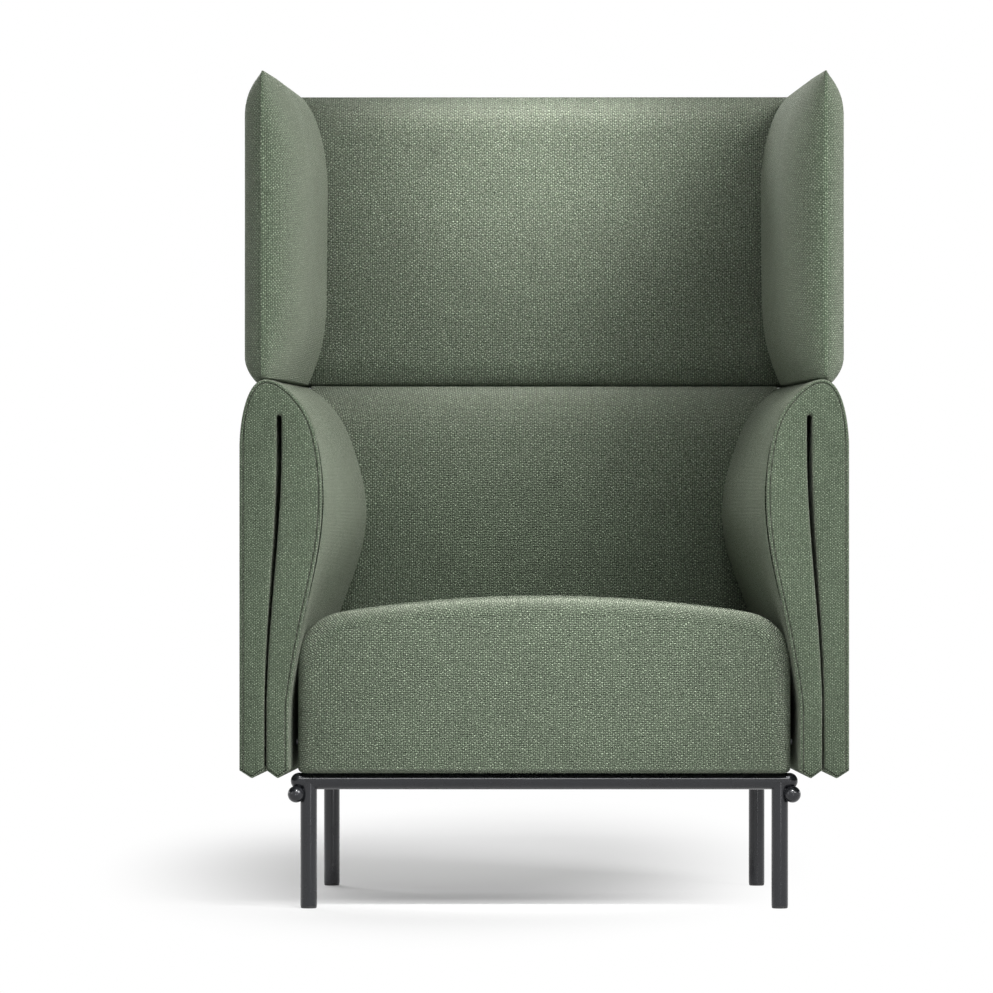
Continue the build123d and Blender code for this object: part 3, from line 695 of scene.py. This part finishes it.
# %% Ends and length of a fold
def end_relief(from_lip, from_slot, from_foot):
    """How far each point of a pad's end lies behind its foremost plane, and its mask of painted
    seam shade.
    """
    rounded = (quarter_round(from_lip, lip_round) * quarter_round(from_slot, slot_round)
               * quarter_round(from_foot, foot_round))
    groove = np.maximum(bump_at(from_lip, lip_width, seam_width),
                        bump_at(from_foot, foot_seam, seam_width))
    inside = np.clip(np.minimum(from_lip - lip_width, from_foot - foot_seam), 0, None)
    panel = np.exp(-inside / panel_fade)
    return end_round * (1 - rounded) + groove_depth * groove + panel_set_in * panel, groove


def folded_pad(name, place, length, extra, crown_at, inner_foot):
    """A folded pad swept along its length, with a set-in panel behind a lip at both ends."""
    patches = []
    for run, facing in ((0, 1), (length, -1)):
        points, *distances = ribbon(extra, crown_at(run), inner_foot)
        relief, groove = end_relief(*distances)
        patches.append(patch(place(points, run + facing * relief), points, groove))

    runs = end_depth + near_edges(length - 2 * end_depth, run_steps)
    sections = [section_ring(ribbon(extra, crown_at(run), inner_foot)[0]) for run in runs]
    rings = np.stack(sections)
    around = run_length(rings[len(rings) // 2])
    skin = place(rings, runs[:, None] + 0 * rings[..., 0])
    cloth = np.stack(np.broadcast_arrays(runs[:, None], around[None, :]), -1)
    patches.append(patch(skin, cloth))
    return sew(name, patches)


# %% [markdown]
# ## Arms
#
# The arms draw together towards the rear. Their inner faces swell between the front and rear
# seams, which is why so much of each inner face can be seen from the front.

# %% Arms
arm_crown_middle = 28 * mm
arm_crown_rear = 22 * mm
arm_crown_place = 0.6 * body_depth
arm_puff = 3 * mm
arm_puff_fade = 9 * mm
arm_fill = 0.75


def arm_crown(run):
    """How much the inner face swells at a distance from the front."""
    before = 1 - np.clip(run / arm_crown_place, 0, 1)
    after = np.clip((run - arm_crown_place) / (body_depth - arm_crown_place), 0, 1)
    swell = arm_crown_middle * (1 - before**2) - (arm_crown_middle - arm_crown_rear) * after**2
    to_seam = min(run, body_depth - run) - end_round
    return swell + arm_puff * (1 - np.exp(-max(to_seam, 0) / arm_puff_fade))


def arm_place(side):
    def place(section, run):
        x = side * (half_width - section[..., 0] - run * np.tan(toe_in))
        return np.stack([x, front_y + run, section[..., 1]], -1)

    return place


for side, hand in ((-1, "left"), (1, "right")):
    arm = folded_pad(f"arm_{hand}", arm_place(side), body_depth, 0, arm_crown, fold_foot)
    upholster(arm, calm_fabric, arm_fill, f"arm_cover_{hand}", f"arm_foam_{hand}")


# %% [markdown]
# ## Lower back
#
# The same fold lies across the chair between the arms. Its front leaf is thicker and stops on the
# seat.

# %% Lower back
lower_back_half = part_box("lower_back_cover")[1].x
front_leaf_extra = 26 * mm
front_leaf_foot = 0.2905
lower_back_swell = 8 * mm
flare_low_z = 0.715  # above it the ends reach out under the wings, over the arms' shoulders
flare_reach = 22 * mm
lower_back_fill = 0.75


def lower_back_crown(run):
    return lower_back_swell * (1 - (run / lower_back_half - 1) ** 2)


def lower_back_place(section, run):
    z = section[..., 1]
    flare = np.clip((z - flare_low_z) / (fold_top - flare_low_z), 0, 1) ** 2
    x = (run - lower_back_half) * (1 + flare * flare_reach / lower_back_half)
    return np.stack([x, rear_y - section[..., 0], z], -1)


lower_back = folded_pad("lower_back", lower_back_place, 2 * lower_back_half, front_leaf_extra,
                        lower_back_crown, front_leaf_foot)
upholster(lower_back, bold_fabric, lower_back_fill, "lower_back_cover", "lower_back_foam")


# %% [markdown]
# ## Pillow panels
#
# The wings and the upper back are pillows. Two faces meet in a stitched flange round the edge and
# rise from it like part of an ellipse to a full middle.

# %% Pillow form
seam_offset = 2.6 * mm  # the stitches lie this far behind the edge
seam_depth = 0.35 * mm
edge_thickness = 1.2 * mm
press_round = 4 * mm
press_pinch = 40
settle_height = 22 * mm
# painted shade in the pillows' shallow seam grooves, weaker than on the pads
pillow_seam_shade = 0.2
# width of the painted highlight along a pillow's edge
edge_highlight_width = 1.5 * mm
pillow_fill = 0.7
pillow_steps = (0, 0.6, 1.2, 1.9, 2.6, 3.3, 4.2, 5.6, 7.6, 10, 14, 19, 25, 32, 40, 50, 62, 76)


def ellipse_rise(distance, margin, pinch):
    """Rises from 0 at an edge to 1 at a margin, along an ellipse that starts at the pinch angle."""
    free = np.clip(distance / margin, 0, 1)
    start = np.sin(np.radians(pinch))
    return (np.sin(np.arccos(np.cos(np.radians(pinch)) * (1 - free))) - start) / (1 - start)


def pressed_rise(distance, start, margin):
    """An edge pressed flat on what it stands on: steep to a share, then along an ellipse."""
    turned = quarter_round(distance, press_round)
    return turned * (start + (1 - start) * ellipse_rise(distance, margin, press_pinch))


def round_corners(to_side, to_end, radius):
    """Moves points of a square corner on to a round one, and gives their distances inwards."""
    over_side, over_end = np.clip(radius - to_side, 0, None), np.clip(radius - to_end, 0, None)
    larger, length = np.maximum(over_side, over_end), np.hypot(over_side, over_end)
    factor = np.where(length > 0, larger / np.maximum(length, 1e-9), 1)
    corner = (over_side > 0) & (over_end > 0)
    side = np.where(corner, radius - over_side * factor, to_side)
    end = np.where(corner, radius - over_end * factor, to_end)
    return side, end


# %% Pillow faces
def face_form(face, from_near, from_far, from_foot, from_top):
    """The height of a pillow's face over the plane of its flange, its painted seam shade mask and
    painted edge highlight mask.
    """
    rise = ellipse_rise(from_near, face["side_margin"], face["pinch"])
    rise = rise * ellipse_rise(from_far, face["side_margin"], face["pinch"])
    rise = rise * ellipse_rise(from_top, face["top_margin"], face["pinch"])
    rise = rise * pressed_rise(from_foot, face["foot_share"], face["foot_margin"])
    edge = np.minimum(np.minimum(from_near, from_far), np.minimum(from_foot, from_top))
    groove = bump_at(edge, seam_offset, seam_width) * (from_foot > seam_offset * 2)
    flange = edge_thickness * quarter_round(edge, edge_thickness)
    height = face["crown"] * rise + flange - seam_depth * groove
    # the last mask is the painted highlight along the pillow's edge
    return height, pillow_seam_shade * groove, bump_at(edge, 0, edge_highlight_width)


def pillow(name, place, foot, top, near_at, far_at, corner_radius, faces):
    """A pillow between two side edges, given as functions of height, and a level foot and top.

    A face is its crown, the margins and pinch angle of its sides and top, the share and margin of
    its pressed foot, how far the foot settles beside its middle, and the way that it faces.
    """
    heights = near_edges(top - foot, pillow_steps)
    middle = (foot + top) / 2
    widths = near_edges(far_at(middle) - near_at(middle), pillow_steps)
    share = widths / widths[-1]
    from_foot = np.broadcast_to(heights[:, None], (len(heights), len(widths)))
    from_top = (top - foot) - from_foot
    left, right = near_at(foot + from_foot), far_at(foot + from_foot)
    from_near = (right - left) * share
    from_far = (right - left) - from_near
    in_side, in_end = round_corners(np.minimum(from_near, from_far),
                                    np.minimum(from_foot, from_top), corner_radius)
    across = np.where(from_near < from_far, left + in_side, right - in_side)
    upward = np.where(from_foot < from_top, foot + in_end, top - in_end)
    middle_row, middle_column = len(heights) // 2, len(widths) // 2
    patches = []
    for face in faces:
        height, seam_shade, edge_highlight = face_form(face, from_near, from_far, from_foot, from_top)
        pressed = np.clip(height / (face["crown"] * face["foot_share"]), 0, 1)
        settled = face["settle"] * pressed * np.exp(-from_foot / settle_height)
        around = run_length(np.stack([across[middle_row], height[middle_row]], 1))
        over = run_length(np.stack([upward[:, middle_column], height[:, middle_column]], 1))
        cloth = np.stack(np.broadcast_arrays(around[None, :], over[:, None]), -1)
        skin = place(across, upward - settled, face["facing"] * height)
        patches.append(patch(skin, cloth, seam_shade, edge_highlight))
    return sew(name, patches)


# %% [markdown]
# ## Wings
#
# A wing stands on the fold of its arm and turns in with it. From the front its edge shows a sharp
# ridge, with a full inner face and a flatter outer one. Its rear edge leans back with the upper
# back.

# %% Wings
wing_inset = 33 * mm  # ridge of a wing, inwards from the arm's outer face
wing_front = 20 * mm  # its front edge, behind the arm's front
wing_corner = 8 * mm
back_foot_run = 0.662  # rear edge of the wings and plane of the upper back, at the foot
back_top_run = 0.736  # and at the top
wing_foot = wing_low.z
wing_top = wing_high.z
lean = np.arctan2(back_top_run - back_foot_run, wing_top - wing_foot)


def wing_place(side):
    def place(run, z, outward):
        x = half_width - run * np.sin(toe_in) + (outward - wing_inset) * np.cos(toe_in)
        y = front_y + run * np.cos(toe_in) + (outward - wing_inset) * np.sin(toe_in)
        return np.stack([side * x, y, z], -1)

    return place


def wing_rear(z):
    return (back_foot_run + (z - wing_foot) * np.tan(lean)) / np.cos(toe_in)


def wing_front_edge(z):
    return wing_front + 0 * z


wing_inner_face = dict(crown=57 * mm, side_margin=150 * mm, top_margin=165 * mm, pinch=8,
                       foot_share=0.46, foot_margin=125 * mm, settle=4 * mm, facing=-1)
wing_outer_face = dict(crown=30 * mm, side_margin=64 * mm, top_margin=64 * mm, pinch=30,
                       foot_share=0.26, foot_margin=36 * mm, settle=8 * mm, facing=1)
for side, hand in ((-1, "left"), (1, "right")):
    wing = pillow(f"wing_{hand}", wing_place(side), wing_foot, wing_top, wing_front_edge,
                  wing_rear, wing_corner, (wing_inner_face, wing_outer_face))
    upholster(wing, wing_fabric, pillow_fill, f"wing_cover_{hand}", f"wing_foam_inner_{hand}",
              f"wing_foam_outer_{hand}")

# %% [markdown]
# ## Upper back
#
# The upper back is the same kind of pillow. It leans back on the ridge of the lower back and
# fills the room between the wings, so its height is measured along its lean.

# %% Upper back
upper_gap = 0.6 * mm  # to the wings
upper_half = half_width - wing_inset - back_top_run * np.tan(toe_in) - upper_gap
upper_length = (wing_top - wing_foot) / np.cos(lean)
upper_corner = 2 * mm


def upper_back_place(x, up, forward):
    y = front_y + back_foot_run + up * np.sin(lean) - forward * np.cos(lean)
    return np.stack([x, y, wing_foot + up * np.cos(lean) + forward * np.sin(lean)], -1)


def upper_back_left(up):
    return -upper_half + 0 * up


def upper_back_right(up):
    return upper_half + 0 * up


upper_back_front = dict(crown=36 * mm, side_margin=120 * mm, top_margin=70 * mm, pinch=10,
                        foot_share=0.35, foot_margin=38 * mm, settle=3 * mm, facing=1)
upper_back_rear = dict(crown=27 * mm, side_margin=60 * mm, top_margin=60 * mm, pinch=30,
                       foot_share=0.4, foot_margin=40 * mm, settle=6 * mm, facing=-1)
upper_back = pillow("upper_back", upper_back_place, 0.0, upper_length, upper_back_left,
                    upper_back_right, upper_corner, (upper_back_front, upper_back_rear))
upholster(upper_back, bold_fabric, pillow_fill, "upper_back_cover", "upper_back_foam_front",
          "upper_back_foam_rear")


# %% [markdown]
# ## Seat
#
# The seat is a deep block with a crowned top, large rounded shoulders at both sides and a softly
# rounded front edge. Its cover is turned under the box and stops at the dust cover.

# %% Seat section
seat_half = seat_high.x
seat_foot = seat_low.z
seat_top = seat_high.z
seat_front_run = seat_low.y - front_y
seat_rear_run = seat_high.y - front_y
seat_length = seat_rear_run - seat_front_run
seat_side_drop = 30.5 * mm  # the crown would meet the upright side this far below its top
seat_shoulder = 74 * mm
seat_front_edge = 24 * mm
seat_foot_edge = 8 * mm
seat_rear_fall = 3 * mm  # its top is this much lower at the rear
turned_under = 64 * mm  # of the cover, under the box
dust_cover_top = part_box("seat_dust_cover")[1].z + 1.5 * mm
seat_front_puff = 4 * mm


def seat_half_ring(bottom_z):
    """Right half of the seat's front view, from its middle underneath to its middle on top."""
    radius = (seat_half**2 + seat_side_drop**2) / (2 * seat_side_drop)
    centre_z = seat_top - radius
    shoulder_x = seat_half - seat_shoulder
    shoulder_z = centre_z + np.sqrt((radius - seat_shoulder) ** 2 - shoulder_x**2)
    meet = np.arcsin(shoulder_x / (radius - seat_shoulder))
    inner = seat_half - turned_under
    under = np.linspace(0, inner, 24)
    flat = np.linspace(inner, seat_half - seat_foot_edge, 8)
    foot_turn = np.linspace(-np.pi / 2, 0, 9)
    foot_x = seat_half - seat_foot_edge * (1 - np.cos(foot_turn))
    foot_z = seat_foot + seat_foot_edge * (1 + np.sin(foot_turn))
    side_z = np.linspace(seat_foot + seat_foot_edge, shoulder_z, 20)[1:]
    turn = np.linspace(0, np.pi / 2 - meet, 20)[1:]
    crown_turn = np.linspace(meet, 0, 34)[1:]
    lines = [
        (under, 0 * under + bottom_z),
        (flat, 0 * flat + seat_foot),
        (foot_x, foot_z),
        (0 * side_z + seat_half, side_z),
        (shoulder_x + seat_shoulder * np.cos(turn), shoulder_z + seat_shoulder * np.sin(turn)),
        (radius * np.sin(crown_turn), centre_z + radius * np.cos(crown_turn)),
    ]
    return np.concatenate([np.stack(line, 1) for line in lines])


def seat_ring(run, bottom_z):
    """The seat's section at a distance from its front, where it is rounded off."""
    half = seat_half_ring(bottom_z)
    whole = np.concatenate([half, half[-2::-1] * (-1, 1)])
    ahead = np.clip(seat_front_edge - run, 0, None)
    front_loss = top_loss = seat_front_edge - np.sqrt(seat_front_edge**2 - ahead**2)
    ahead = np.clip(seat_foot_edge - run, 0, None)
    foot_loss = seat_foot_edge - np.sqrt(seat_foot_edge**2 - ahead**2)
    full = seat_top - seat_foot
    top_loss = top_loss + seat_rear_fall * (run / seat_length) ** 2
    x = whole[:, 0] * (seat_half - front_loss - run * np.tan(toe_in)) / seat_half
    z = seat_foot + foot_loss + (whole[:, 1] - seat_foot) * (full - top_loss - foot_loss) / full
    return np.stack([x, z], 1)


def seat_place(section, run):
    return np.stack([section[..., 0], front_y + seat_front_run + run, section[..., 1]], -1)


# %% Seat body
edge_turn = np.linspace(0, np.pi / 2, 14)
front_runs = seat_front_edge * (1 - np.cos(edge_turn))
step_up = turned_under + 0.2 * mm  # behind it the underside lies at the dust cover
body_runs = np.concatenate([np.linspace(seat_front_edge, turned_under, 5)[1:], [step_up],
                            np.linspace(step_up, seat_length, 34)[1:]])
all_runs = np.concatenate([front_runs, body_runs])
bottoms = np.where(all_runs <= turned_under, seat_foot, dust_cover_top)
rings = np.stack([seat_ring(run, bottom) for run, bottom in zip(all_runs, bottoms)])
around = run_length(rings[-1])
around = around - around[-1] / 2
# Along the rounded front edge the cloth runs as far as the arc, so the weave keeps its size.
edge_arc = seat_front_edge * edge_turn
cloth_runs = np.concatenate([edge_arc, edge_arc[-1] + body_runs - seat_front_edge])
cloth = np.stack(np.broadcast_arrays(around[None, :], cloth_runs[:, None]), -1)
seat_patches = [patch(seat_place(rings, all_runs[:, None] + 0 * rings[..., 0]), cloth)]
print(f"seat {seat_length / mm:.0f} mm deep, {len(all_runs)} rows")

# %% Seat front, rear and cover
front_ring = rings[0]
front_middle = np.array([0, (front_ring[:, 1].min() + front_ring[:, 1].max()) / 2])
scales = 1 - np.linspace(0, 1, 24) ** 1.2
front_rows = front_middle + (front_ring - front_middle) * scales[:, None, None]
puff = -seat_front_puff * (1 - scales**4)[:, None] + 0 * front_rows[..., 0]
front_cloth = front_rows - (0, front_ring[:, 1].max())
seat_patches.append(patch(seat_place(front_rows, puff), front_cloth))
rear_rows = front_middle + (rings[-1] - front_middle) * np.linspace(1, 0, 6)[:, None, None]
rear_runs = seat_length + 0 * rear_rows[..., 0]
seat_patches.append(patch(seat_place(rear_rows, rear_runs), rear_rows))
seat_fill = 0.7
upholster(sew("seat", seat_patches), bold_fabric, seat_fill, "seat_cover", "seat_foam")


# %% [markdown]
# ## Floor
#
# The photograph has a white backdrop and a soft shadow round the legs. A pale floor catches the
# shadow and turns into plain white light further out, so it shows no horizon and no edge.

# %% Floor
shadow_middle = (-0.15, 1.2, 0)  # the shadow falls back and to the left
shadow_shape = (1.7, 0.4, 1.0)
floor_fade_start = 0.35
floor_fade_end = 1.05
floor_white_share = 0.18  # of what the camera sees in the shadow, so that it stays pale
floor_colour = (0.70, 0.70, 0.70, 1)
floor_half = 30

floor_material, tree = new_material("pale_floor")
place = object_place(tree)
from_middle = vector_math(tree, "SUBTRACT", place, shadow_middle)
shaped = vector_math(tree, "MULTIPLY", from_middle, shadow_shape)
distance = node(tree, "ShaderNodeVectorMath", {0: shaped}, operation="LENGTH").outputs["Value"]
fade = remap(tree, distance, floor_fade_start, floor_fade_end, floor_white_share, smooth=True)
pale = toned(tree, mottle(tree, place, scale=3.0, low=0.985, high=1.0), floor_colour)
matt = node(tree, "ShaderNodeBsdfDiffuse", {"Color": pale})
white = node(tree, "ShaderNodeEmission", {"Color": (1, 1, 1, 1), "Strength": 1.0})
rays = node(tree, "ShaderNodeLightPath").outputs
seen = math(tree, "MAXIMUM", rays["Is Camera Ray"], rays["Is Glossy Ray"])
whiteness = math(tree, "MULTIPLY", fade, seen)
blend = node(tree, "ShaderNodeMixShader", {0: whiteness, 1: matt.outputs[0], 2: white.outputs[0]})
node(tree, "ShaderNodeOutputMaterial", {"Surface": blend.outputs[0]})

floor_mesh = bpy.data.meshes.new("floor")
corners = [(x * floor_half, y * floor_half, 0) for x, y in ((-1, -1), (1, -1), (1, 1), (-1, 1))]
floor_mesh.from_pydata(corners, [], [(0, 1, 2, 3)])
floor_mesh.materials.append(floor_material)
floor = bpy.data.objects.new("floor", floor_mesh)
bpy.context.scene.collection.objects.link(floor)
print("floor", 2 * floor_half, "m wide")

# %% [markdown]
# ## World
#
# The world is plain white to the camera, in reflections and through clear things, as the backdrop
# of the photograph is. As a light it is weak, because the lamps should shape the cloth.

# %% World
ambient = 0.05

world = bpy.data.worlds.new("studio")
world.use_nodes = True
bpy.context.scene.world = world
tree = world.node_tree
tree.nodes.clear()
rays = node(tree, "ShaderNodeLightPath").outputs
seen = math(tree, "MAXIMUM", rays["Is Camera Ray"], rays["Is Transmission Ray"])
seen = math(tree, "MAXIMUM", seen, rays["Is Glossy Ray"])
strength = remap(tree, seen, 0.0, 1.0, ambient, 1.0)
background = node(tree, "ShaderNodeBackground", {"Color": (1, 1, 1, 1), "Strength": strength})
node(tree, "ShaderNodeOutputWorld", {"Surface": background.outputs[0]})
print("ambient light", ambient)


# %% [markdown]
# ## Lamps
#
# The main light is a large soft one at the right in front, so the right wing and arm shade the
# right third of the back. Three soft spots brighten the upper back, the lower back and the seat.
# Two narrow strips draw the lines of light on the rail and the legs, and a third one lights the
# chair from above its front. Weak lamps at the sides fill in, and three behind make the sides and
# the back visible.

# %% Lamp helpers
spot_softness = 0.15  # radius of a spot's source


def hang(name, kind, place, aim, power, **settings):
    """A lamp in its place, turned to face a point and hidden from the camera."""
    data = bpy.data.lights.new(name, kind)
    data.energy = power
    for key, value in settings.items():
        setattr(data, key, value)
    lamp = bpy.data.objects.new(name, data)
    lamp.visible_camera = False
    bpy.context.scene.collection.objects.link(lamp)
    lamp.location = place
    lamp.rotation_euler = (Vector(aim) - Vector(place)).to_track_quat("-Z", "Y").to_euler()


def softbox(name, place, aim, width, height, power):
    """A rectangular area light that faces a point."""
    hang(name, "AREA", place, aim, power, shape="RECTANGLE", size=width, size_y=height)


def soft_spot(name, place, aim, radius, power):
    """A spot whose cone has the given radius at the point it faces and fades from its middle."""
    cone = 2 * np.arctan(radius / (Vector(aim) - Vector(place)).length)
    hang(name, "SPOT", place, aim, power, spot_size=cone, spot_blend=1.0,
         shadow_soft_size=spot_softness)


# %% Lamps
chair_middle = (0, 0, 0.65)
for name, place, side, power in (
    ("key", (2.4, -2.75, 2.75), 1.5, 130),
    ("right_fill", (3.5, -2.0, 1.5), 1.5, 4),
    ("left_fill", (-3.5, -2.0, 1.5), 1.5, 11),
    ("rear_fill", (-1.5, 4.2, 2.4), 2.0, 170),
    ("rear_left_fill", (-3.8, 1.8, 1.6), 1.5, 22),
    ("rear_right_fill", (3.8, 1.8, 1.6), 1.5, 20),
):
    softbox(name, place, chair_middle, width=side, height=side, power=power)
for name, place, aim, width, height, power in (
    ("top_strip", (0.1, -1.7, 2.9), (0, -0.2, 0.4), 1.6, 0.2, 22),
    ("rail_strip", (0, -1.86, 1.43), (0, -0.33, 0.14), 0.9, 0.26, 9),
    ("leg_strip", (0.85, -2.65, 0.3), (0, -0.33, 0.1), 0.14, 0.8, 3),
):
    softbox(name, place, aim, width, height, power)
for name, place, aim, radius, power in (
    ("upper_spot", (0.2, -3.2, 2.4), (-0.02, 0.34, 1.18), 0.32, 950),
    ("lower_spot", (0.2, -1.7, 3.0), (-0.04, 0.17, 0.74), 0.30, 300),
    ("seat_spot", (0.2, -2.0, 2.8), (0, -0.28, 0.38), 0.5, 480),
):
    soft_spot(name, place, aim, radius, power)
print("lamps:", len(bpy.data.lights))
